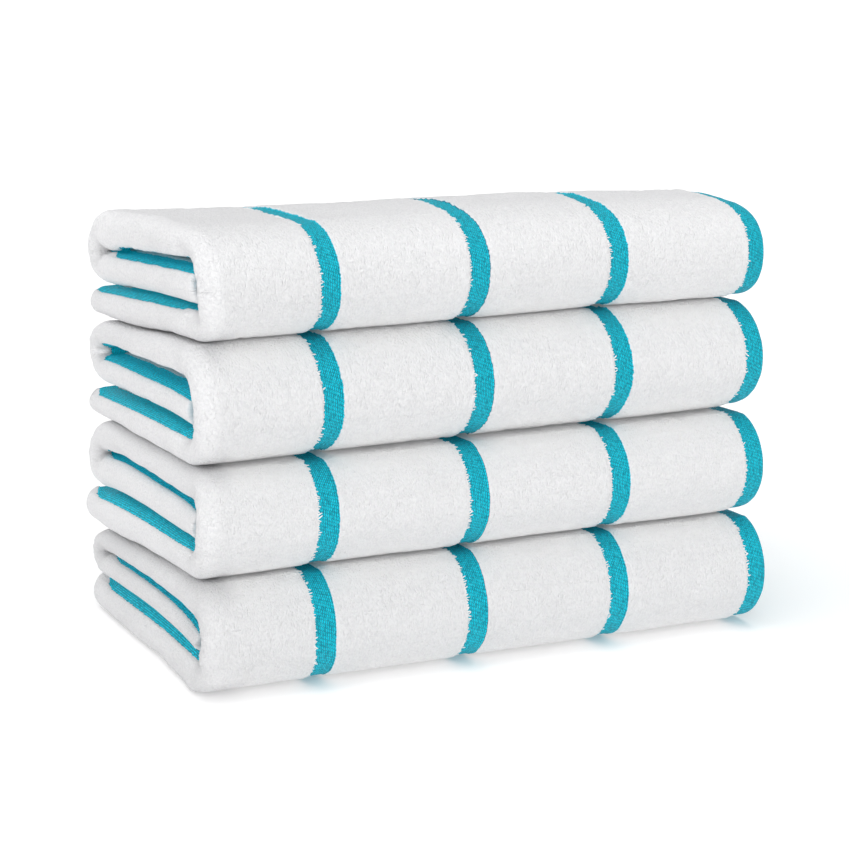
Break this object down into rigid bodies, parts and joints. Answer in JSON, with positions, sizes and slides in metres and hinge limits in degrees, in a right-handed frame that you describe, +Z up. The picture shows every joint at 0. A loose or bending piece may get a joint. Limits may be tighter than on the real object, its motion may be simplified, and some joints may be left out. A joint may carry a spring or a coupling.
{
  "type": "bath towel set",
  "caption": "Stack of folded white terry bath towels with narrow flat-woven teal bands, folded in thirds with a rounded front fold; each towel lifts off the one below.",
  "frame": {"origin": "middle of the base, on the surface the stack stands on", "axes": "+Z up, +X along the long side of the folded towels towards the side edges, -Y towards the big rounded front folds"},
  "size_m": [0.383, 0.228, 0.2776],
  "materials": {
    "bottom_terry": "white cotton terry pile with flat-woven teal bands",
    "second_terry": "white cotton terry pile with flat-woven teal bands",
    "third_terry": "white cotton terry pile with flat-woven teal bands",
    "top_terry": "white cotton terry pile with flat-woven teal bands",
    "hem_thread": "white cotton sewing thread, lockstitch"
  },
  "bodies": {
    "bottom": {"bottom_towel": "bottom_terry", "bottom_towel_hem_threads": "hem_thread"},
    "second": {"second_towel": "second_terry", "second_towel_hem_threads": "hem_thread"},
    "third": {"third_towel": "third_terry", "third_towel_hem_threads": "hem_thread"},
    "top": {"top_towel": "top_terry", "top_towel_hem_threads": "hem_thread"}
  },
  "joints": [
    {"name": "second_lift", "type": "slide", "parent": "bottom", "child": "second", "axis": [0, 0, 1], "range_m": [0, 0.12]},
    {"name": "third_lift", "type": "slide", "parent": "second", "child": "third", "axis": [0, 0, 1], "range_m": [0, 0.12]},
    {"name": "top_lift", "type": "slide", "parent": "third", "child": "top", "axis": [0, 0, 1], "range_m": [0, 0.12]}
  ]
}
